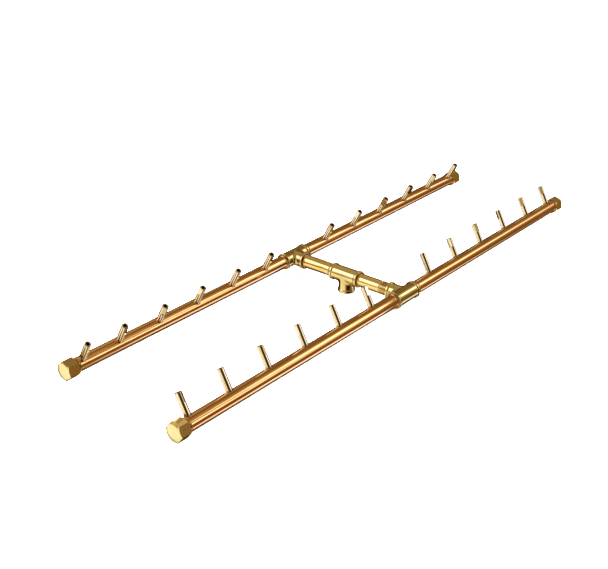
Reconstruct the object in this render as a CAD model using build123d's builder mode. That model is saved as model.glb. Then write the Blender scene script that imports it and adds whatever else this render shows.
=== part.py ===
from build123d import *
from math import cos, radians, sin
import os

# H-shaped gas burner: two parallel burner rows joined by a cross link.
# X runs along the rows, Y across them, Z up. The origin is the centre of the gas inlet's mouth,
# which is the lowest point, in the middle of the cross link.

# ---- Driving dimensions, in millimetres ----

row_spacing = 218.0          # between the axes of the front and back rows
jet_pitch = 76.2             # between neighbouring jets, and from a tee's centre to the first jet
jets_per_arm = 6
end_jet_inset = 30.0         # last jet's axis to the outer face of the end cap
jet_lean = 28.0              # degrees from vertical, towards the other row
jet_reach = 41.9             # pipe axis to the tip of a jet

# Distance from a tee's centre to the outer face of each arm's end cap
cap_face_reach = {
    "front_left": 486.0,
    "front_right": 482.0,
    "back_left": 477.0,
    "back_right": 482.0,
}
# Final angle of each hexagonal cap after tightening, in degrees from +Y
cap_turn = {
    "front_left": 7.0,
    "front_right": 20.0,
    "back_left": 18.0,
    "back_right": 20.0,
}

# Pipe, 1/2 in nominal
pipe_r = 21.34 / 2
pipe_bore_r = 15.8 / 2

# Tapered pipe thread, 14 threads per inch
thread_pitch = 25.4 / 14
thread_depth = 1.3
thread_end_r = 20.72 / 2     # crest radius at the end of the pipe
thread_taper = 1 / 32        # growth of radius along the thread
thread_full_length = 13.55   # full-depth threads
thread_length = 19.85        # including the run-out threads that stay outside a fitting
thread_grip = 13.5           # length screwed into a fitting
crest_flat = 0.12 * thread_pitch
root_flat = 0.06 * thread_pitch
socket_clearance = 0.03      # between a thread's crests and a socket's wall

# Tee, for 1/2 in pipe
tee_reach = 26.5             # centre to the face of each port
tee_body_r = 12.6
tee_branch_r = 12.5
tee_band_r = 13.8
tee_band_length = 4.6
tee_waterway_r = 9.2
tee_blend = 2.5
tee_band_rounding = 1.3
socket_depth = 14.5
socket_mouth_r = 12.4
inlet_r = pipe_r             # straight wall of the gas inlet
inlet_depth = 14.0

# End cap
cap_across_flats = 25.4
cap_length = 18.5
cap_face_r = 12.1            # flat circle left inside the corner chamfers
cap_chamfer_angle = 30.0
cap_back_r = 13.0            # the same at the back, where the chamfer is smaller
cap_back_chamfer = 0.43      # its length
cap_stock_r = 15.7           # clear of the hexagon's corners

# Jet, 1/8 in nominal pipe size
jet_r = 10.3 / 2
jet_bore_r = 5.6 / 2
jet_bore_depth = 25.0
jet_orifice_r = 1.6 / 2
jet_root = 8.1               # pipe axis to the jet's inner end
jet_thread_pitch = 25.4 / 27
jet_thread_depth = 0.55
jet_thread_rings = 3
jet_flats = 8.8              # across the two wrench flats
jet_flat_length = 14.0
jet_edge = 0.35

# Final angle of each jet's wrench flats after tightening, from +X, nearest the tee first
jet_turn = {
    "front_left": (94, 59, 174, 64, 54, 64),
    "front_right": (14, 159, 114, 20, 149, 146),
    "back_left": (87, 77, 177, 137, 82, 72),
    "back_right": (97, 7, 167, 127, 147, 92),
}

os.makedirs("parts", exist_ok=True)

row_y = {"front": -row_spacing / 2, "back": row_spacing / 2}
outward = {"left": -1, "right": 1}
up = Vector(0, 0, 1)


def crest_radius(s):
    """Crest radius of the pipe thread at a distance s from the pipe's end."""
    return min(thread_end_r + s * thread_taper, pipe_r)


def thread_outline():
    """Points (distance from the pipe's end, radius) of the tapered thread, cut as rings."""
    points = [(0, thread_end_r - thread_depth)]
    ring = 0
    while (ring + 1) * thread_pitch < thread_length:
        start = ring * thread_pitch
        middle = start + thread_pitch / 2
        fade = (thread_length - middle) / (thread_length - thread_full_length)
        depth = thread_depth * min(1.0, fade)
        root = crest_radius(middle) - depth
        if ring > 0:
            points.append((start + crest_flat, crest_radius(start)))
        points.append((middle - root_flat, root))
        points.append((middle + root_flat, root))
        points.append((start + thread_pitch - crest_flat, crest_radius(start + thread_pitch)))
        ring += 1
    points.append((points[-1][0] + crest_flat, pipe_r))
    return points


def threaded_pipe_outline(length):
    """Half section of a pipe threaded at both ends, as (distance along, radius)."""
    near_end = thread_outline()
    far_end = [(length - s, r) for s, r in reversed(near_end)]
    return near_end + far_end + [(length, pipe_bore_r), (0, pipe_bore_r)]


def side_plane(origin, direction):
    """Plane through a horizontal axis: its x runs along the axis and its y points up."""
    return Plane(origin=origin, x_dir=direction, z_dir=direction.cross(up))


def socket_outline(face, depth):
    """Half section of a taper-threaded socket, as (distance from the fitting's centre, radius)."""
    pipe_end = face - thread_grip
    taper_end = pipe_end + (pipe_r - thread_end_r) / thread_taper
    bottom = face - depth
    mouth = socket_mouth_r - pipe_r - socket_clearance
    return [
        (bottom, 0),
        (bottom, thread_end_r + socket_clearance),
        (pipe_end, thread_end_r + socket_clearance),
        (taper_end, pipe_r + socket_clearance),
        (face - mouth, pipe_r + socket_clearance),
        (face, socket_mouth_r),
        (face, 0),
    ]


def inlet_outline():
    """Half section of the gas inlet: a straight wall up to its mouth."""
    return [
        (tee_reach - inlet_depth, 0),
        (tee_reach - inlet_depth, inlet_r),
        (tee_reach, inlet_r),
        (tee_reach, 0),
    ]


def is_junction(edge):
    """True for the edges where a tee's two bodies meet, which are neither round nor straight."""
    return edge.geom_type not in (GeomType.CIRCLE, GeomType.LINE)


def tee(centre, run, branch, branch_socket):
    """Tee with beaded ports: run is the through direction, branch the side port."""
    ports = [(run, branch), (run * -1, branch), (branch, run)]
    with BuildPart() as fitting:
        with BuildSketch(Plane(origin=centre, z_dir=run)):
            Circle(tee_body_r)
        extrude(amount=tee_reach - tee_band_rounding, both=True)
        with BuildSketch(Plane(origin=centre, z_dir=branch)):
            Circle(tee_branch_r)
        extrude(amount=tee_reach - tee_band_rounding)
        fillet(fitting.edges(Select.LAST).filter_by(is_junction), tee_blend)
        for out, side in ports:
            with BuildSketch(Plane(origin=centre, x_dir=out, z_dir=out.cross(side))):
                with Locations((tee_reach - tee_band_length / 2, tee_band_r / 2)):
                    Rectangle(tee_band_length, tee_band_r)
                fillet(vertices().group_by(Axis.Y)[-1], tee_band_rounding)
            revolve(axis=Axis(centre, out))
        for out, side in ports:
            socket = branch_socket if out is branch else socket_outline(tee_reach, socket_depth)
            with BuildSketch(Plane(origin=centre, x_dir=out, z_dir=out.cross(side))):
                with BuildLine():
                    Polyline(*socket, close=True)
                make_face()
            revolve(axis=Axis(centre, out), mode=Mode.SUBTRACT)
        with BuildSketch(Plane(origin=centre, z_dir=run)):
            Circle(tee_waterway_r)
        extrude(amount=tee_reach - socket_depth, both=True, mode=Mode.SUBTRACT)
        with BuildSketch(Plane(origin=centre, z_dir=branch)):
            Circle(tee_waterway_r)
        extrude(amount=tee_reach - socket_depth, mode=Mode.SUBTRACT)
    return fitting.part


# ---- Tees ----

link_centre = Vector(0, 0, tee_reach)
row_centre = {row: Vector(0, y, tee_reach) for row, y in row_y.items()}

tee_centre = tee(link_centre, Vector(0, 1, 0), Vector(0, 0, -1), inlet_outline())
tee_centre.label = "tee_centre"
export_step(tee_centre, "parts/tee_centre.step")

for row, centre in row_centre.items():
    inward = Vector(0, -1 if row == "back" else 1, 0)
    row_tee = tee(centre, Vector(1, 0, 0), inward, socket_outline(tee_reach, socket_depth))
    row_tee.label = f"tee_{row}"
    export_step(row_tee, f"parts/tee_{row}.step")

# ---- Cross nipples, between the centre tee and each row's tee ----

nipple_length = row_spacing / 2 - 2 * (tee_reach - thread_grip)

for row, y in row_y.items():
    direction = Vector(0, y, 0).normalized()
    start = link_centre + direction * (tee_reach - thread_grip)
    with BuildPart() as nipple:
        with BuildSketch(side_plane(start, direction)):
            with BuildLine():
                Polyline(*threaded_pipe_outline(nipple_length), close=True)
            make_face()
        revolve(axis=Axis(start, direction))
    nipple.part.label = f"cross_nipple_{row}"
    export_step(nipple.part, f"parts/cross_nipple_{row}.step")

# ---- Arms, their jets and their end caps ----

for row, centre in row_centre.items():
    lean = radians(jet_lean if row == "front" else -jet_lean)
    jet_direction = Vector(0, sin(lean), cos(lean))
    for side, sign in outward.items():
        arm_name = f"{row}_{side}"
        direction = Vector(sign, 0, 0)
        face = cap_face_reach[arm_name]
        reaches = [jet_pitch * (k + 1) for k in range(jets_per_arm - 1)] + [face - end_jet_inset]
        jet_bases = [centre + direction * reach for reach in reaches]

        # Arm: a pipe threaded at both ends, with a row of tapped holes through its upper wall
        start = centre + direction * (tee_reach - thread_grip)
        arm_length = face - cap_length + thread_grip - (tee_reach - thread_grip)
        with BuildPart() as arm:
            with BuildSketch(side_plane(start, direction)):
                with BuildLine():
                    Polyline(*threaded_pipe_outline(arm_length), close=True)
                make_face()
            revolve(axis=Axis(start, direction))
            for base in jet_bases:
                with Locations(Plane(origin=base + jet_direction * pipe_r, z_dir=jet_direction)):
                    Hole(radius=jet_r + socket_clearance, depth=pipe_r)
        arm.part.label = f"arm_{arm_name}"
        export_step(arm.part, f"parts/arm_{arm_name}.step")

        # Jets: tubes screwed into the arm, with a gas orifice below a wide open bore
        for k, base in enumerate(jet_bases):
            turn = radians(jet_turn[arm_name][k])
            jet_side = Plane(origin=base, x_dir=(1, 0, 0), z_dir=Vector(1, 0, 0).cross(jet_direction))
            tip = base + jet_direction * jet_reach
            across = Vector(1, 0, 0) * cos(turn) + Vector(1, 0, 0).cross(jet_direction) * sin(turn)
            thread = []
            for ring in range(jet_thread_rings):
                low = jet_root + ring * jet_thread_pitch
                thread.append((jet_r - jet_thread_depth, low))
                thread.append((jet_r, low + jet_thread_pitch / 2))
            thread.append((jet_r - jet_thread_depth, jet_root + jet_thread_rings * jet_thread_pitch))
            thread.append((jet_r, jet_root + (jet_thread_rings + 0.5) * jet_thread_pitch))
            bore_bottom = jet_reach - jet_bore_depth
            with BuildPart() as jet:
                with BuildSketch(jet_side):
                    with BuildLine():
                        Polyline(
                            (jet_orifice_r, jet_root),
                            *thread,
                            (jet_r, jet_reach - jet_edge),
                            (jet_r - jet_edge, jet_reach),
                            (jet_bore_r + jet_edge, jet_reach),
                            (jet_bore_r, jet_reach - jet_edge),
                            (jet_bore_r, bore_bottom),
                            (jet_orifice_r, bore_bottom - jet_bore_r + jet_orifice_r),
                            close=True,
                        )
                    make_face()
                revolve(axis=Axis(base, jet_direction))
                with BuildSketch(Plane(origin=tip, x_dir=across, z_dir=jet_direction)):
                    with Locations((jet_flats / 2 + jet_r, 0), (-jet_flats / 2 - jet_r, 0)):
                        Rectangle(2 * jet_r, 4 * jet_r)
                extrude(amount=-jet_flat_length, mode=Mode.SUBTRACT)
            jet.part.label = f"jet_{arm_name}_{k + 1}"
            export_step(jet.part, f"parts/jet_{arm_name}_{k + 1}.step")

        # End cap: a hexagon with its corners chamfered at both ends, over a blind socket
        cap_back = centre + direction * (face - cap_length)
        turn = radians(cap_turn[arm_name])
        corner = Vector(0, cos(turn), sin(turn))
        corner_r = cap_across_flats / 2 / cos(radians(30))
        chamfer_length = (cap_stock_r - cap_face_r) * sin(radians(cap_chamfer_angle))
        with BuildPart() as cap:
            with BuildSketch(Plane(origin=cap_back, x_dir=corner, z_dir=direction)):
                RegularPolygon(radius=corner_r, side_count=6)
            extrude(amount=cap_length)
            with BuildSketch(side_plane(cap_back, direction)):
                with BuildLine():
                    Polyline(
                        (0, 0),
                        (0, cap_back_r),
                        (cap_back_chamfer, cap_stock_r),
                        (cap_length - chamfer_length, cap_stock_r),
                        (cap_length, cap_face_r),
                        (cap_length, 0),
                        close=True,
                    )
                make_face()
            revolve(axis=Axis(cap_back, direction), mode=Mode.INTERSECT)
            with BuildSketch(side_plane(cap_back, direction * -1)):
                with BuildLine():
                    Polyline(*socket_outline(0, socket_depth), close=True)
                make_face()
            revolve(axis=Axis(cap_back, direction), mode=Mode.SUBTRACT)
        cap.part.label = f"end_cap_{arm_name}"
        export_step(cap.part, f"parts/end_cap_{arm_name}.step")
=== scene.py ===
from math import asin, atan2, cos, pi, radians, sin, sqrt, tan

import bmesh
import bpy
import numpy as np
from mathutils import Matrix, Vector


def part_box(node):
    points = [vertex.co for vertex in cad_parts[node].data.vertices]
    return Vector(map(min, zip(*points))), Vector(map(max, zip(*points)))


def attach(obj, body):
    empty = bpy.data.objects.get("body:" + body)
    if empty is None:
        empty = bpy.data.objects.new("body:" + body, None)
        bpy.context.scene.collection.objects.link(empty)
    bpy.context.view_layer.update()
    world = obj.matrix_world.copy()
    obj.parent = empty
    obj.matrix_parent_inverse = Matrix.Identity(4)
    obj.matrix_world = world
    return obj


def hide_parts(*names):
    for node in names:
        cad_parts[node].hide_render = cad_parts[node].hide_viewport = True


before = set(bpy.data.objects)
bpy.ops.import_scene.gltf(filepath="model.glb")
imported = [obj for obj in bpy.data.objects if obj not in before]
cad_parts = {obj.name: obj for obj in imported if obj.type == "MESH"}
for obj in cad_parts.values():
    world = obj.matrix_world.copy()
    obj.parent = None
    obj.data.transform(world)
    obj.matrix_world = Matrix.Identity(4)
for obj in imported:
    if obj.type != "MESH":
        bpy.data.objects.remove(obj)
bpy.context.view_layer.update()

MM = 0.001

# ---- Dimensions in millimetres, the same as the CAD's ----

ARMS = ("front_left", "front_right", "back_left", "back_right")

# Taper pipe thread: 14 turns to the inch
THREAD_PITCH = 25.4 / 14
THREAD_DEPTH = 1.3
THREAD_END_R = 10.36
THREAD_TAPER = 1 / 32
THREAD_LENGTH = 18.6
THREAD_RUNOUT = 5.05
THREAD_CREST_HALF = 0.12  # of a turn
THREAD_FLANK = 0.32
BARE_THREAD_LENGTH = 28.5

# Half-inch nominal pipe; the holes are tapped for the jets
PIPE_R = 10.67
PIPE_BORE_R = 7.9
PIPE_CHAMFER = 0.6
PIPE_HOLE_R = 5.18
PIPE_HOLE_RIM_R = 5.55
PIPE_HOLE_SINK = 0.35

# Jets, turned from eighth-inch nominal pipe: 27 turns to the inch
JET_PER_ARM = 6
JET_LEAN = 28.0
JET_R = 5.15
JET_BORE_R = 2.8
JET_BORE_DEPTH = 25.0
JET_ORIFICE_R = 0.8
JET_REACH = 41.9
JET_ROOT = 8.1
JET_THREAD_PITCH = 25.4 / 27
JET_THREAD_DEPTH = 0.55
JET_THREAD_TURNS = 4
JET_FLATS = 8.8
JET_FLAT_LENGTH = 14.0
JET_EDGE = 0.35

# Hexagonal end caps
CAP_LENGTH = 18.5
CAP_FLATS = 25.4
CAP_FACE_R = 12.1
CAP_BACK_R = 13.0
CAP_EDGE = 0.12
CAP_MOUTH_R = 12.4
CAP_SOCKET_R = 10.4
CAP_SOCKET_DEPTH = 14.5

# Tees; places along a port are measured from the tee's centre
TEE_REACH = 26.5
TEE_BODY_R = 12.6
TEE_BRANCH_R = 12.5
TEE_BODY_REACH = 25.4
TEE_BAND_R = 13.8
TEE_BAND_ROUND = 1.3
TEE_BAND_HALF = 1.0
TEE_BORE_R = 9.2
TEE_RECESS_R = 10.0  # painted shade is darkest at or inside this radius
TEE_SHELF = 12.0
TEE_SOCKET_PLACES = (12.0, 13.0, 24.8, 26.6)
TEE_SOCKET_RADII = (10.39, 10.39, 10.72, 12.5)
INLET_CREST_R = 10.75
INLET_MOUTH_PLACES = (25.2, 26.6)
INLET_MOUTH_RADII = (9.7, 11.6)

# Degrees at which each threaded piece stopped turning
CAP_TURN = {"front_left": 7, "front_right": 20, "back_left": 18, "back_right": 20}
JET_TURN = {
    "front_left": (94, 59, 174, 64, 54, 64),
    "front_right": (14, 159, 114, 20, 149, 146),
    "back_left": (87, 77, 177, 137, 82, 72),
    "back_right": (97, 7, 167, 127, 147, 92),
}

# ---- Fineness of the meshes ----

PIPE_COLUMNS = 72
CAP_COLUMNS = 96
PATCH_REACH = 6.2  # half the length of the patch of faces round a hole, in millimetres
PATCH_HALF = 10  # columns on each side of a hole's middle
PATCH_ROWS = 8
TEE_STEP = 0.6
WELD = 2e-4
SHARP_ANGLE = 32

X, Y, Z = Vector((1, 0, 0)), Vector((0, 1, 0)), Vector((0, 0, 1))


def centre_of(node):
    """The middle of a CAD node's box, in millimetres."""
    low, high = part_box(node)
    return [(a + b) / 2 / MM for a, b in zip(low, high)]


# ---- Meshes ----


class Build:
    """Vertices and faces in a local frame, in millimetres; shade is painted shade, which also stands for
    tarnish in thread roots: 0 deep in a recess and 1 outside.
    """

    def __init__(self):
        self.points = []
        self.faces = []
        self.shade = []

    def add(self, points, shade=1.0):
        """Adds a row of points and gives their numbers."""
        start = len(self.points)
        self.points.extend(points)
        self.shade.extend([shade] * len(points) if isinstance(shade, float) else shade)
        return list(range(start, start + len(points)))

    def strip(self, a, b, closed=True):
        """Joins two rows of as many points with faces."""
        count = len(a) if closed else len(a) - 1
        for i in range(count):
            j = (i + 1) % len(a)
            self.faces.append((a[i], a[j], b[j], b[i]))


def weld_points(mesh):
    """Joins points in the same place and turns the faces outwards."""
    bm = bmesh.new()
    bm.from_mesh(mesh)
    bmesh.ops.remove_doubles(bm, verts=bm.verts, dist=WELD * MM)
    bmesh.ops.dissolve_degenerate(bm, edges=bm.edges, dist=WELD * MM)
    loose = [v for v in bm.verts if not v.link_faces]
    bmesh.ops.delete(bm, geom=loose, context="VERTS")
    bmesh.ops.recalc_face_normals(bm, faces=bm.faces)
    bm.to_mesh(mesh)
    bm.free()


def finish_mesh(name, build, axes, origin, material, normals=None):
    """Makes the object from points along three local axes; normals come with meshes that need no weld."""
    basis = np.array([tuple(v) for v in axes])
    points = (np.array(build.points) @ basis + np.array(origin)) * MM
    mesh = bpy.data.meshes.new(name)
    mesh.from_pydata(points.tolist(), [], build.faces)
    # Painted shade in recesses and bores, which also stands for tarnish in thread roots, goes to the
    # material as a per-point attribute.
    shade = mesh.attributes.new("recess_shade_and_tarnish", "FLOAT", "POINT")
    shade.data.foreach_set("value", np.array(build.shade, float))
    mesh.validate(clean_customdata=False)
    if normals is None:
        weld_points(mesh)
    mesh.shade_smooth()
    if normals is None:
        mesh.set_sharp_from_angle(angle=radians(SHARP_ANGLE))
    else:
        mesh.normals_split_custom_set_from_vertices((normals @ basis).tolist())
    mesh.materials.append(material)
    obj = bpy.data.objects.new(name, mesh)
    bpy.context.scene.collection.objects.link(obj)
    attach(obj, "root")
    return obj


def thread_wave(turn):
    """0 on a thread's crest and 1 at its root, for a position in turns."""
    t = abs(((turn + 0.5) % 1.0) - 0.5)
    return min(1.0, max(0.0, (t - THREAD_CREST_HALF) / THREAD_FLANK))


def thread_point(s, angle, from_end, thread_length):
    """Radius, and painted shade with tarnish (0 deep in a root, 1 on a crest), of the tapered thread at a
    distance from the pipe's end.
    """
    crest = min(THREAD_END_R + from_end * THREAD_TAPER, PIPE_R)
    fade = min(1.0, max(0.0, (thread_length - from_end) / THREAD_RUNOUT))
    wave = thread_wave(s / THREAD_PITCH - angle / (2 * pi))
    r = crest - THREAD_DEPTH * fade * wave
    return min(r, THREAD_END_R - THREAD_DEPTH + 0.1 + 1.2 * from_end), 1.0 - fade * wave


def ring(build, s, r):
    """A pipe's ring of points at s along its axis; the last column repeats the first."""
    angles = [2 * pi * i / PIPE_COLUMNS for i in range(PIPE_COLUMNS + 1)]
    return build.add([(s, r * cos(a), r * sin(a)) for a in angles])


def helical_rows(build, start, end, pipe_end):
    """Rows of a helical thread from start to end; the sheared rows follow crests and roots."""
    rows = []
    crest, root = THREAD_CREST_HALF, THREAD_CREST_HALF + THREAD_FLANK
    first = int(start / THREAD_PITCH) - 2
    last = int(end / THREAD_PITCH) + 2
    for turn in range(first, last):
        for corner in (crest, root, 1 - root, 1 - crest):
            points, shades = [], []
            for i in range(PIPE_COLUMNS + 1):
                angle = 2 * pi * i / PIPE_COLUMNS
                s = (turn + corner + angle / (2 * pi)) * THREAD_PITCH
                s = min(end, max(start, s))
                r, shade = thread_point(s, angle, abs(s - pipe_end), end - start)
                points.append((s, r * cos(angle), r * sin(angle)))
                shades.append(shade)
            rows.append(build.add(points, shades))
    return rows


def drilled_wall(build, radius, rim_r, stations, holes):
    """A pipe's outer or inner wall with round holes; gives its first and last rows and the holes' rims."""
    rows = [ring(build, s, radius) for s in stations]
    patches = [min(range(len(stations)), key=lambda n: abs(stations[n] - (c - PATCH_REACH))) for c in holes]
    for k in range(len(rows) - 1):
        in_patch = any(first <= k < first + PATCH_ROWS for first in patches)
        for i in range(PIPE_COLUMNS):
            if in_patch and (i < PATCH_HALF or i >= PIPE_COLUMNS - PATCH_HALF):
                continue
            build.faces.append((rows[k][i], rows[k][i + 1], rows[k + 1][i + 1], rows[k + 1][i]))
    rims = []
    for c, k in zip(holes, patches):
        loop = [(k, i) for i in range(-PATCH_HALF, PATCH_HALF)]
        loop += [(k + j, PATCH_HALF) for j in range(PATCH_ROWS)]
        loop += [(k + PATCH_ROWS, i) for i in range(PATCH_HALF, -PATCH_HALF, -1)]
        loop += [(k + j, -PATCH_HALF) for j in range(PATCH_ROWS, 0, -1)]
        rim = [rows[r][i % PIPE_COLUMNS] for r, i in loop]
        at = [(stations[r] - c, 2 * pi * i / PIPE_COLUMNS) for r, i in loop]
        turns = [atan2(radius * phi, a) for a, phi in at]
        hole = [(rim_r * cos(t), asin(rim_r * sin(t) / radius)) for t in turns]
        for w in (0.75, 0.5, 0.28, 0.1, 0.0):
            closer = []
            for (a, phi), (hole_a, hole_phi) in zip(at, hole):
                s = c + hole_a + (a - hole_a) * w
                angle = hole_phi + (phi - hole_phi) * w
                closer.append((s, radius * cos(angle), radius * sin(angle)))
            closer = build.add(closer)
            build.strip(rim, closer)
            rim = closer
        rims.append((rim, turns))
    return rows[0], rows[-1], rims


def threaded_end(build, start, end, pipe_end, wall_row, bore_row):
    """The thread from start to end, and the face at pipe_end, which is one of the two."""
    rows = helical_rows(build, start, end, pipe_end)
    rows = [wall_row] + rows if pipe_end else rows + [wall_row]
    for a, b in zip(rows, rows[1:]):
        build.strip(a, b, closed=False)
    face = ring(build, pipe_end, PIPE_BORE_R + PIPE_CHAMFER)
    build.strip(rows[-1] if pipe_end else rows[0], face, closed=False)
    build.strip(face, bore_row, closed=False)


def pipe(build, length, holes, last_thread=THREAD_LENGTH):
    """A pipe along local x, threaded at both ends, with drilled holes facing local y."""
    stations = [THREAD_LENGTH]
    for c in holes:
        stations += [c - PATCH_REACH + 2 * PATCH_REACH * k / PATCH_ROWS for k in range(PATCH_ROWS + 1)]
    stations.append(length - last_thread)
    if not holes:
        stations = list(np.linspace(stations[0], stations[-1], 8))
    first, last, rims = drilled_wall(build, PIPE_R, PIPE_HOLE_RIM_R, stations, holes)
    stations = [PIPE_CHAMFER] + stations + [length - PIPE_CHAMFER]
    bore_first, bore_last, bore_rims = drilled_wall(build, PIPE_BORE_R, PIPE_HOLE_R, stations, holes)
    for c, (outer, turns), (inner, _) in zip(holes, rims, bore_rims):
        sunk = []
        for t in turns:
            y = PIPE_HOLE_R * sin(t)
            sunk.append((c + PIPE_HOLE_R * cos(t), sqrt(PIPE_R**2 - y * y) - PIPE_HOLE_SINK, y))
        # The countersink round each hole gets painted shade.
        sunk = build.add(sunk, 0.35)
        build.strip(outer, sunk)
        build.strip(sunk, inner)
    threaded_end(build, 0.0, THREAD_LENGTH, 0.0, first, bore_first)
    threaded_end(build, length - last_thread, length, length, last, bore_last)


def jet(build, turn):
    """A jet along local x: a tube with two wrench flats on its upper part."""
    corner = atan2(sqrt(JET_R**2 - (JET_FLATS / 2) ** 2), JET_FLATS / 2)
    angles = []
    for side in (0.0, pi):
        angles += list(side + np.linspace(-corner, corner, 9)[:-1])
        angles += list(side + np.linspace(corner, pi - corner, 25)[:-1])

    def level(s, r, flat, shade=1.0):
        points = []
        for a in angles:
            radius = min(r, JET_FLATS / 2 / max(abs(cos(a)), 1e-6)) if flat else r
            points.append((s, radius * cos(a + turn), radius * sin(a + turn)))
        return build.add(points, shade)

    # The last argument paints shade: 0 at the thread roots and the orifice, 0.2 down the bore; at the
    # thread roots it also stands for tarnish.
    rows = [level(JET_ROOT, JET_ORIFICE_R, False, 0.0)]
    for n in range(JET_THREAD_TURNS):
        rows.append(level(JET_ROOT + n * JET_THREAD_PITCH, JET_R - JET_THREAD_DEPTH, False, 0.0))
        rows.append(level(JET_ROOT + (n + 0.5) * JET_THREAD_PITCH, JET_R, False))
    ledge = JET_REACH - JET_FLAT_LENGTH
    for s in np.linspace(JET_ROOT + JET_THREAD_TURNS * JET_THREAD_PITCH, ledge, 6):
        rows.append(level(s, JET_R, False))
    rows.append(level(ledge + 0.02, JET_R, True))
    for s in np.linspace(ledge + 0.3, JET_REACH - JET_EDGE, 6):
        rows.append(level(s, JET_R, True))
    rows.append(level(JET_REACH, JET_R - JET_EDGE, True))
    rows.append(level(JET_REACH, JET_BORE_R + JET_EDGE, False))
    rows.append(level(JET_REACH - JET_EDGE, JET_BORE_R, False))
    bottom = JET_REACH - JET_BORE_DEPTH
    for s in np.linspace(JET_REACH - 3, bottom, 5):
        rows.append(level(s, JET_BORE_R, False, 0.2))
    rows.append(level(bottom - 2.0, JET_ORIFICE_R, False, 0.0))
    for a, b in zip(rows, rows[1:] + rows[:1]):
        build.strip(a, b)


def cap(build, turn):
    """A hexagonal end cap along local x, from its face back to a blind socket."""
    slope = tan(radians(30))
    angles = [turn + 2 * pi * i / CAP_COLUMNS for i in range(CAP_COLUMNS)]

    def hexagon(a):
        return CAP_FLATS / 2 / cos(((a - turn) % (pi / 3)) - pi / 6)

    def front(a):
        return CAP_LENGTH - max(0.0, hexagon(a) - CAP_FACE_R) * slope

    def back(a):
        return max(0.0, hexagon(a) - CAP_BACK_R) * 0.25

    def level(radius, place, shade=1.0):
        return build.add([(place(a), radius(a) * cos(a), radius(a) * sin(a)) for a in angles], shade)

    def circle(radius, place, shade=1.0):
        return level(lambda a: radius, lambda a: place, shade)

    rows = [circle(0.02, CAP_LENGTH)]
    rows.append(circle(CAP_FACE_R * 0.5, CAP_LENGTH))
    rows.append(circle(CAP_FACE_R - 0.25, CAP_LENGTH))
    rows.append(circle(CAP_FACE_R + 0.1, CAP_LENGTH - 0.1))
    for w in (0.5, 0.97):
        rows.append(
            level(
                lambda a: CAP_FACE_R + 0.1 + (hexagon(a) - CAP_FACE_R - 0.1) * w,
                lambda a: CAP_LENGTH - 0.1 - ((hexagon(a) - CAP_FACE_R) * slope - 0.1) * w,
            )
        )
    rows.append(level(hexagon, lambda a: front(a) - CAP_EDGE))
    for w in (0.1, 0.5, 0.9):
        rows.append(level(hexagon, lambda a: front(a) - CAP_EDGE + (back(a) + 2 * CAP_EDGE - front(a)) * w))
    rows.append(level(hexagon, lambda a: back(a) + CAP_EDGE))
    rows.append(level(lambda a: hexagon(a) - CAP_EDGE, back))
    rows.append(level(lambda a: min(hexagon(a) - CAP_EDGE, CAP_BACK_R) - 0.3, lambda a: 0.0))
    rows.append(circle(CAP_MOUTH_R, 0.0))
    # Painted shade darkens the mouth and the socket behind it.
    rows.append(circle(CAP_MOUTH_R - 0.2, 0.2, 0.6))
    rows.append(circle(PIPE_R + 0.03, 1.7, 0.3))
    rows.append(circle(CAP_SOCKET_R, CAP_SOCKET_DEPTH - 1.0, 0.0))
    rows.append(circle(CAP_SOCKET_R, CAP_SOCKET_DEPTH, 0.0))
    rows.append(circle(0.02, CAP_SOCKET_DEPTH, 0.0))
    for a, b in zip(rows, rows[1:]):
        build.strip(a, b)
    build.faces.append(tuple(rows[0]))
    build.faces.append(tuple(reversed(rows[-1])))


# ---- Tees: a distance field turned into a mesh ----


def soft_min(a, b, k):
    """The lower of two distances, blended where they differ by less than k."""
    h = np.clip(0.5 + 0.5 * (b - a) / k, 0, 1)
    return b + (a - b) * h - k * h * (1 - h)


def band_distance(along, radial):
    """Distance to a port's rounded band."""
    qa = np.abs(along - (TEE_REACH - TEE_BAND_ROUND - TEE_BAND_HALF)) - TEE_BAND_HALF
    qr = radial - (TEE_BAND_R - TEE_BAND_ROUND)
    outside = np.hypot(np.maximum(qa, 0), np.maximum(qr, 0))
    return outside + np.minimum(np.maximum(qa, qr), 0) - TEE_BAND_ROUND


def tee_distance(p, threaded_branch):
    """Signed distance, about, to a tee with its run on x and its branch on y."""
    x, y, z = p[:, 0], p[:, 1], p[:, 2]
    run_r = np.hypot(y, z)
    branch_r = np.hypot(x, z)
    run = np.maximum(run_r - TEE_BODY_R, np.abs(x) - TEE_BODY_REACH)
    branch = np.maximum(branch_r - TEE_BRANCH_R, np.maximum(y - TEE_BODY_REACH, -y))
    facing = z * z / np.maximum(run_r * branch_r, 1.0)
    near = np.clip(0.5 + y / 8, 0, 1)
    body = soft_min(run, branch, 0.05 + 6.0 * near * np.clip(1.0 - facing, 0, 1))
    for along, radial in ((x, run_r), (-x, run_r), (y, branch_r)):
        body = soft_min(body, band_distance(along, radial), 1.4)
    void = np.maximum(run_r - TEE_BORE_R, np.abs(x) - TEE_SHELF - 1)
    void = np.minimum(void, np.maximum(branch_r - TEE_BORE_R, np.maximum(-y, y - TEE_SHELF - 1)))
    for n, (along, radial) in enumerate(((x, run_r), (-x, run_r), (y, branch_r))):
        wall = np.interp(along, TEE_SOCKET_PLACES, TEE_SOCKET_RADII)
        if n == 2 and threaded_branch:
            turn = along / THREAD_PITCH + np.arctan2(z, x) / (2 * pi)
            t = np.abs(((turn + 0.5) % 1.0) - 0.5)
            wave = np.clip((t - 0.08) / 0.34, 0, 1)
            wall = np.maximum(
                INLET_CREST_R - 1.15 * wave - (TEE_REACH - along) * THREAD_TAPER,
                np.interp(along, INLET_MOUTH_PLACES, INLET_MOUTH_RADII),
            )
        void = np.minimum(void, np.maximum(radial - wall, TEE_SHELF - along) * 0.9)
    return -soft_min(-body, void, 0.3)


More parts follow.
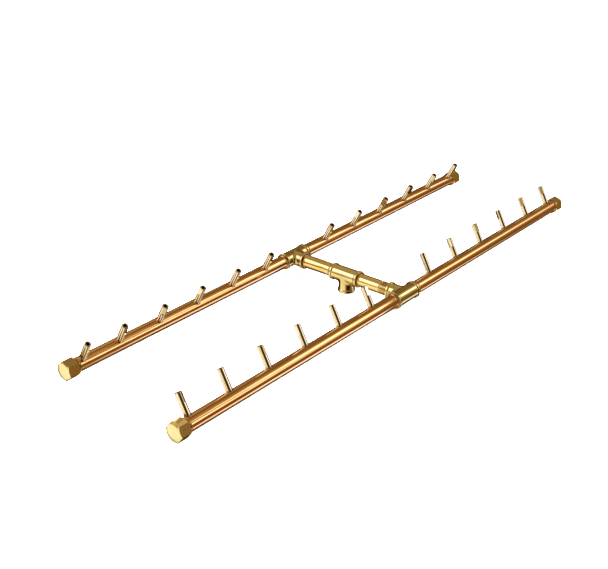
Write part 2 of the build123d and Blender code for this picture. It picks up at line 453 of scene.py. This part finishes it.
def field_mesh(distance, low, high, step):
    """Surface nets over a grid, then moved onto the surface; gives points, faces and normals."""
    counts = [int(round((b - a) / step)) + 1 for a, b in zip(low, high)]
    axes = [a + step * np.arange(n) for a, n in zip(low, counts)]
    grid = np.stack(np.meshgrid(*axes, indexing="ij"), -1).reshape(-1, 3)
    value = distance(grid).reshape(counts)
    solid = value < 0
    nx, ny, nz = (n - 1 for n in counts)
    total = np.zeros((nx, ny, nz, 3))
    hits = np.zeros((nx, ny, nz))
    for axis in range(3):
        shift = [0, 0, 0]
        shift[axis] = 1
        others = [a for a in range(3) if a != axis]
        for da in (0, 1):
            for db in (0, 1):
                o = [0, 0, 0]
                o[others[0]], o[others[1]] = da, db
                a = value[o[0] : o[0] + nx, o[1] : o[1] + ny, o[2] : o[2] + nz]
                q = [o[i] + shift[i] for i in range(3)]
                b = value[q[0] : q[0] + nx, q[1] : q[1] + ny, q[2] : q[2] + nz]
                crossing = (a < 0) != (b < 0)
                t = np.where(crossing, a / np.where(crossing, a - b, 1), 0)
                for i in range(3):
                    total[..., i] += crossing * (o[i] + (t if i == axis else 0))
                hits += crossing
    cells = np.argwhere(hits > 0)
    index = -np.ones((nx, ny, nz), int)
    index[tuple(cells.T)] = np.arange(len(cells))
    local = total[tuple(cells.T)] / hits[tuple(cells.T)][:, None]
    points = np.array(low) + (cells + local) * step
    faces = []
    for axis in range(3):
        b, c = [a for a in range(3) if a != axis]
        first = [slice(None)] * 3
        second = [slice(None)] * 3
        first[axis], second[axis] = slice(0, -1), slice(1, None)
        change = solid[tuple(first)] != solid[tuple(second)]
        at = np.argwhere(change)
        at = at[(at[:, b] > 0) & (at[:, c] > 0) & (at[:, b] < counts[b] - 1) & (at[:, c] < counts[c] - 1)]
        quads = []
        for db, dc in ((1, 1), (0, 1), (0, 0), (1, 0)):
            cell = at.copy()
            cell[:, b] -= db
            cell[:, c] -= dc
            quads.append(index[tuple(cell.T)])
        quads = np.stack(quads, 1)
        flip = solid[tuple(at.T)] ^ (axis == 1)
        quads[~flip] = quads[~flip][:, ::-1]
        faces.append(quads)
    faces = np.concatenate(faces)

    def gradient(p, h=0.02):
        """The field's slope at points, by differences over h each way."""
        g = np.empty_like(p)
        for i in range(3):
            e = np.zeros(3)
            e[i] = h
            g[:, i] = (distance(p + e) - distance(p - e)) / (2 * h)
        return g

    def settle(p, rounds):
        """Moves points along the slope onto the surface."""
        for _ in range(rounds):
            g = gradient(p)
            size = np.maximum((g * g).sum(1), 0.05)
            move = (distance(p) / size)[:, None] * g
            p = p - np.clip(move, -0.3, 0.3)
        return p

    points = settle(points, 4)
    for _ in range(2):
        mean = np.zeros_like(points)
        count = np.zeros(len(points))
        for i in range(4):
            for j in ((i + 1) % 4, (i + 3) % 4):
                np.add.at(mean, faces[:, i], points[faces[:, j]])
                np.add.at(count, faces[:, i], 1)
        mean /= np.maximum(count, 1)[:, None]
        g = gradient(points)
        g /= np.maximum(np.linalg.norm(g, axis=1, keepdims=True), 1e-9)
        slide = mean - points
        slide -= (slide * g).sum(1, keepdims=True) * g
        points = settle(points + 0.5 * slide, 2)
    g = gradient(points)
    g /= np.maximum(np.linalg.norm(g, axis=1, keepdims=True), 1e-9)
    return points, faces, g


tee_forms = {}
for threaded in (False, True):
    low = (-TEE_REACH - 1.2, -15.0, -15.0)
    high = (TEE_REACH + 1.2, TEE_REACH + 1.2, 15.0)
    tee_forms[threaded] = field_mesh(lambda p: tee_distance(p, threaded), low, high, TEE_STEP)


def tee(name, run, branch, threaded, material):
    """Places one of the two tee forms, its run and its branch along the given directions."""
    points, faces, normals = tee_forms[threaded]
    build = Build()
    build.points = points.tolist()
    build.faces = faces.tolist()
    x, y, z = points.T
    # Painted shade darkens the tee's mouths and bore, inside TEE_RECESS_R of a port's axis.
    inside = np.minimum(np.hypot(y, z), np.where(y > 0, np.hypot(x, z), TEE_REACH))
    build.shade = np.clip((inside - TEE_RECESS_R) / 2.0, 0, 1).tolist()
    origin = Vector(centre_of(name))
    out = branch * (TEE_BAND_R - TEE_REACH) / 2
    side = run.cross(branch)
    return finish_mesh(
        name + "_casting", build, (run, branch, side), origin + out, material, normals
    )


# ---- Materials ----


def darker(colour, amounts):
    """A colour with alpha, each channel scaled by its own amount."""
    return tuple(c * k for c, k in zip(colour, amounts)) + (1,)


def brass(name, bright, deep, rough, streak, shade_and_tarnish_dark=0.55, grain=0.10):
    """Bright metal whose colour, polish and fine marks vary; streak stretches the marks along each axis;
    recesses get painted shade, with tarnish in thread roots, as dark as the factor given.
    """
    mat = bpy.data.materials.new(name)
    mat.use_nodes = True
    tree = mat.node_tree
    nodes, links = tree.nodes, tree.links
    shader = nodes["Principled BSDF"]
    shader.inputs["Metallic"].default_value = 1.0
    shader.inputs["Coat Weight"].default_value = 1.0
    shader.inputs["Coat Roughness"].default_value = 0.05

    def node(kind, **values):
        n = nodes.new(kind)
        for key, value in values.items():
            if hasattr(n, key):
                setattr(n, key, value)
            else:
                n.inputs[key.replace("_", " ")].default_value = value
        return n

    # Noise scales are per metre: fine drawing or turning marks, broad clouds of tone, and small specks
    place = node("ShaderNodeTexCoord")
    stretch = node("ShaderNodeMapping")
    stretch.inputs["Scale"].default_value = streak
    links.new(place.outputs["Object"], stretch.inputs["Vector"])
    fine = node("ShaderNodeTexNoise", Scale=2400.0, Detail=3.0, Roughness=0.6)
    links.new(stretch.outputs["Vector"], fine.inputs["Vector"])
    cloud = node("ShaderNodeTexNoise", Scale=38.0, Detail=4.0, Roughness=0.55)
    links.new(place.outputs["Object"], cloud.inputs["Vector"])
    spots = node("ShaderNodeTexNoise", Scale=420.0, Detail=2.0, Roughness=0.5)
    links.new(place.outputs["Object"], spots.inputs["Vector"])

    tone = node("ShaderNodeMapRange")
    tone.inputs["From Min"].default_value = 0.35
    tone.inputs["From Max"].default_value = 0.68
    links.new(cloud.outputs["Fac"], tone.inputs["Value"])
    colour = node("ShaderNodeMix", data_type="RGBA")
    colour.inputs["A"].default_value = (*bright, 1)
    colour.inputs["B"].default_value = (*deep, 1)
    links.new(tone.outputs["Result"], colour.inputs["Factor"])

    # Painted shade: the colour falls towards a dark copy of deep where the per-point value falls towards 0,
    # in recesses and bores; in thread roots it also stands for tarnish.
    recess_shade_and_tarnish = node("ShaderNodeAttribute", attribute_name="recess_shade_and_tarnish")
    shade_and_tarnish_mix = node("ShaderNodeMix", data_type="RGBA")
    shade_and_tarnish_mix.inputs["A"].default_value = darker(deep, [shade_and_tarnish_dark * k for k in (0.8, 0.62, 0.45)])
    links.new(colour.outputs["Result"], shade_and_tarnish_mix.inputs["B"])
    links.new(recess_shade_and_tarnish.outputs["Fac"], shade_and_tarnish_mix.inputs["Factor"])
    speck = node("ShaderNodeMapRange")
    speck.inputs["From Min"].default_value = 0.68
    speck.inputs["From Max"].default_value = 0.78
    speck.inputs["To Max"].default_value = 0.35
    links.new(spots.outputs["Fac"], speck.inputs["Value"])
    spotted = node("ShaderNodeMix", data_type="RGBA")
    spotted.inputs["B"].default_value = darker(deep, (0.75, 0.55, 0.4))
    links.new(shade_and_tarnish_mix.outputs["Result"], spotted.inputs["A"])
    links.new(speck.outputs["Result"], spotted.inputs["Factor"])
    links.new(spotted.outputs["Result"], shader.inputs["Base Color"])

    polish = node("ShaderNodeMapRange")
    polish.inputs["From Min"].default_value = 0.3
    polish.inputs["From Max"].default_value = 0.7
    polish.inputs["To Min"].default_value = rough * 0.75
    polish.inputs["To Max"].default_value = rough * 1.35
    links.new(fine.outputs["Fac"], polish.inputs["Value"])
    links.new(polish.outputs["Result"], shader.inputs["Roughness"])

    bump = node("ShaderNodeBump", Strength=grain)
    bump.inputs["Distance"].default_value = 0.00004
    links.new(fine.outputs["Fac"], bump.inputs["Height"])
    links.new(bump.outputs["Normal"], shader.inputs["Normal"])
    return mat


pipe_metal = brass(
    "drawn_red_brass", (0.94, 0.54, 0.18), (0.88, 0.46, 0.13), 0.08, (0.06, 1.0, 1.0)
)
nipple_metal = brass(
    "drawn_yellow_brass", (0.96, 0.71, 0.26), (0.90, 0.63, 0.18), 0.09, (1.0, 0.06, 1.0)
)
# The castings get the darkest painted shade, in their mouths and bore.
casting_metal = brass(
    "tumbled_cast_brass", (0.86, 0.67, 0.25), (0.68, 0.50, 0.15), 0.10, (0.6, 0.6, 0.6), shade_and_tarnish_dark=0.3
)
cap_metal = brass(
    "turned_hexagon_brass", (0.97, 0.84, 0.40), (0.91, 0.75, 0.30), 0.13, (0.2, 1.0, 1.0), grain=0.03
)
jet_metal = brass(
    "bright_turned_brass", (0.99, 0.84, 0.56), (0.95, 0.77, 0.46), 0.08, (1.0, 1.0, 0.15)
)

# ---- Pieces ----

for arm in ARMS:
    row, side = arm.split("_")
    low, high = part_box("arm_" + arm)
    length = (high[0] - low[0]) / MM
    _, y, z = centre_of("arm_" + arm)
    sign = 1 if side == "right" else -1
    start = (low[0] if sign > 0 else high[0]) / MM
    lean = radians(JET_LEAN if row == "front" else -JET_LEAN)
    jet_up = Vector((0, sin(lean), cos(lean)))
    along = X * sign
    jets = [f"jet_{arm}_{k + 1}" for k in range(JET_PER_ARM)]
    jet_x = [centre_of(name)[0] for name in jets]

    build = Build()
    pipe(build, length, [abs(x - start) for x in jet_x])
    axes = (along, jet_up, along.cross(jet_up))
    obj = finish_mesh(f"arm_pipe_{arm}", build, axes, (start, y, z), pipe_metal)
    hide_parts("arm_" + arm)

    across = X.cross(jet_up)
    for name, x, turn in zip(jets, jet_x, JET_TURN[arm]):
        build = Build()
        jet(build, radians(turn))
        obj = finish_mesh(name + "_tube", build, (jet_up, X, across), (x, y, z), jet_metal)
        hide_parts(name)

    cap_low, cap_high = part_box("end_cap_" + arm)
    back = (cap_low[0] if sign > 0 else cap_high[0]) / MM
    build = Build()
    cap(build, radians(CAP_TURN[arm]))
    obj = finish_mesh(f"cap_hex_{arm}", build, (along, Y, Z), (back, y, z), cap_metal)
    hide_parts("end_cap_" + arm)

for row, sign in (("front", -1), ("back", 1)):
    node = "cross_nipple_" + row
    low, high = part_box(node)
    length = (high[1] - low[1]) / MM
    x, _, z = centre_of(node)
    start = (low[1] if sign > 0 else high[1]) / MM
    along = Y * sign
    build = Build()
    pipe(build, length, [], BARE_THREAD_LENGTH if row == "front" else THREAD_LENGTH)
    axes = (along, Z, along.cross(Z))
    obj = finish_mesh(node + "_pipe", build, axes, (x, start, z), nipple_metal)
    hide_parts(node)
    obj = tee("tee_" + row, X, -Y * sign, False, casting_metal)
    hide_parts("tee_" + row)

obj = tee("tee_centre", Y, -Z, True, casting_metal)
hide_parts("tee_centre")

# ---- Floor ----

FLOOR_HALF = 6.0  # metres
FLOOR_Z = -0.0004

floor_mesh = bpy.data.meshes.new("floor")
corners = [(x * FLOOR_HALF, y * FLOOR_HALF, 0) for x, y in ((-1, -1), (1, -1), (1, 1), (-1, 1))]
floor_mesh.from_pydata(corners, [], [(0, 1, 2, 3)])
floor = bpy.data.objects.new("floor", floor_mesh)
floor.location.z = FLOOR_Z
bpy.context.scene.collection.objects.link(floor)
pale = bpy.data.materials.new("pale_floor")
pale.use_nodes = True
pale.node_tree.nodes["Principled BSDF"].inputs["Base Color"].default_value = (0.95, 0.95, 0.95, 1)
pale.node_tree.nodes["Principled BSDF"].inputs["Roughness"].default_value = 0.9
floor_mesh.materials.append(pale)
floor.visible_glossy = False

# ---- Studio: a surround of soft panels, seen only in reflections, and a soft overhead fill ----

world = bpy.data.worlds.new("studio")
bpy.context.scene.world = world
world.use_nodes = True
world.node_tree.nodes.clear()
world_nodes, world_links = world.node_tree.nodes, world.node_tree.links


def math(kind, a, b=None):
    """A math node on sockets or numbers; gives its output."""
    n = world_nodes.new("ShaderNodeMath")
    n.operation = kind
    for i, v in enumerate((a, b)):
        if v is None:
            continue
        if isinstance(v, (int, float)):
            n.inputs[i].default_value = v
        else:
            world_links.new(v, n.inputs[i])
    return n.outputs[0]


coord = world_nodes.new("ShaderNodeTexCoord")
split = world_nodes.new("ShaderNodeSeparateXYZ")
world_links.new(coord.outputs["Generated"], split.inputs[0])
azimuth = math("MULTIPLY", math("ARCTAN2", split.outputs["X"], split.outputs["Y"]), 180 / pi)
elevation = math("MULTIPLY", math("ARCSINE", split.outputs["Z"]), 180 / pi)


def window(value, middle, half, soft, wraps):
    """1 within half of middle, falling to 0 over soft."""
    away = math("SUBTRACT", value, middle)
    if wraps:
        away = math("WRAP", away, 180)
        away.node.inputs[2].default_value = -180
    away = math("ABSOLUTE", away)
    n = world_nodes.new("ShaderNodeMapRange")
    n.interpolation_type = "SMOOTHSTEP"
    world_links.new(away, n.inputs["Value"])
    n.inputs["From Min"].default_value = half
    n.inputs["From Max"].default_value = half + soft
    n.inputs["To Min"].default_value = 1
    n.inputs["To Max"].default_value = 0
    return n.outputs["Result"]


# Panels of the surround, each laid over those before it. Azimuth is measured from +Y towards +X:
# name, (azimuth, half width, softness), (elevation, half height, softness) in degrees, colour.
PANELS = [
    ("right_floor", (120, 60, 12), (-48, 16, 10), (0.25, 0.15, 0.06)),
    ("right_nadir", (130, 40, 20), (-74, 8, 8), (0.75, 0.68, 0.55)),
    ("left_floor", (-152, 22, 14), (-60, 18, 12), (0.05, 0.028, 0.008)),
    ("low_left", (-78, 32, 14), (-48, 12, 8), (1.0, 0.95, 0.85)),
    ("right_upper", (70, 19, 12), (20, 32, 16), (0.22, 0.14, 0.055)),
    ("left_card", (-98, 12, 8), (-4, 14, 8), (1.1, 1.05, 0.95)),
    ("back_left", (-68, 34, 10), (-21, 13, 8), (1.15, 1.08, 0.98)),
    ("left_middle", (-55, 14, 8), (3, 6, 6), (0.66, 0.60, 0.48)),
    ("back_left_high", (-46, 15, 9), (33, 13, 6), (1.9, 1.9, 2.4)),
    ("camera_side", (-155, 24, 8), (-4, 40, 10), (0.035, 0.017, 0.003)),
    ("front_strip", (152, 16, 7), (15, 5, 4), (0.72, 0.68, 0.64)),
    ("right_horizon", (132, 34, 10), (-9, 15, 4), (0.22, 0.115, 0.03)),
    ("low_card", (127, 7, 9), (-33, 4, 6), (1.6, 1.7, 2.3)),
    ("cap_crown", (48, 4, 5), (45, 5, 5), (0.62, 0.44, 0.30)),
    ("key", (123, 8, 6), (31, 7, 5), (2.0, 2.0, 2.4)),
    ("key_near", (145, 4, 7), (17, 5, 4), (1.9, 1.9, 2.3)),
    ("grazing", (38, 53, 12), (-22, 30, 12), (0.035, 0.022, 0.012)),
]
surround = world_nodes.new("ShaderNodeRGB").outputs[0]
surround.default_value = (0.40, 0.32, 0.19, 1)
for label, (az, az_half, az_soft), (el, el_half, el_soft), colour in PANELS:
    across = window(azimuth, az, az_half, az_soft, True)
    mask = math("MULTIPLY", across, window(elevation, el, el_half, el_soft, False))
    mix = world_nodes.new("ShaderNodeMix")
    mix.data_type = "RGBA"
    mix.label = label
    world_links.new(mask, mix.inputs["Factor"])
    world_links.new(surround, mix.inputs["A"])
    mix.inputs["B"].default_value = (*colour, 1)
    surround = mix.outputs["Result"]

seen = world_nodes.new("ShaderNodeBackground")
seen.inputs["Color"].default_value = (1, 1, 1, 1)
seen.inputs["Strength"].default_value = 1.1
reflected = world_nodes.new("ShaderNodeBackground")
world_links.new(surround, reflected.inputs["Color"])
ray = world_nodes.new("ShaderNodeLightPath")
choose = world_nodes.new("ShaderNodeMixShader")
world_links.new(ray.outputs["Is Camera Ray"], choose.inputs["Fac"])
world_links.new(reflected.outputs[0], choose.inputs[1])
world_links.new(seen.outputs[0], choose.inputs[2])
out = world_nodes.new("ShaderNodeOutputWorld")
world_links.new(choose.outputs[0], out.inputs["Surface"])


lamp = bpy.data.lights.new("overhead_fill", "AREA")
lamp.shape = "SQUARE"
lamp.size = 7.0
lamp.energy = 900
fill = bpy.data.objects.new("overhead_fill", lamp)
fill.location = (0, 0, 2.6)
fill.visible_glossy = False
fill.visible_camera = False
bpy.context.scene.collection.objects.link(fill)

# ---- Camera, looking down at the rows from beyond their left end ----

CAMERA_AZIMUTH, CAMERA_ELEVATION, CAMERA_ROLL = radians(-50.368), radians(26.176), radians(-0.007)
CAMERA_PLACE = (-1.24459, -0.94349, 0.77695)
CAMERA_LENS = 65.02

back = Vector(
    (
        sin(CAMERA_AZIMUTH) * cos(CAMERA_ELEVATION),
        -cos(CAMERA_AZIMUTH) * cos(CAMERA_ELEVATION),
        sin(CAMERA_ELEVATION),
    )
)
right = Z.cross(back).normalized()
up = back.cross(right)
right, up = (
    right * cos(CAMERA_ROLL) + up * sin(CAMERA_ROLL),
    up * cos(CAMERA_ROLL) - right * sin(CAMERA_ROLL),
)
camera_data = bpy.data.cameras.new("camera")
camera_data.lens = CAMERA_LENS
camera_data.sensor_width = 36
camera = bpy.data.objects.new("camera", camera_data)
camera.matrix_world = Matrix.Translation(CAMERA_PLACE) @ Matrix((right, up, back)).transposed().to_4x4()
bpy.context.scene.collection.objects.link(camera)
bpy.context.scene.camera = camera
bpy.context.scene.view_settings.view_transform = "Standard"
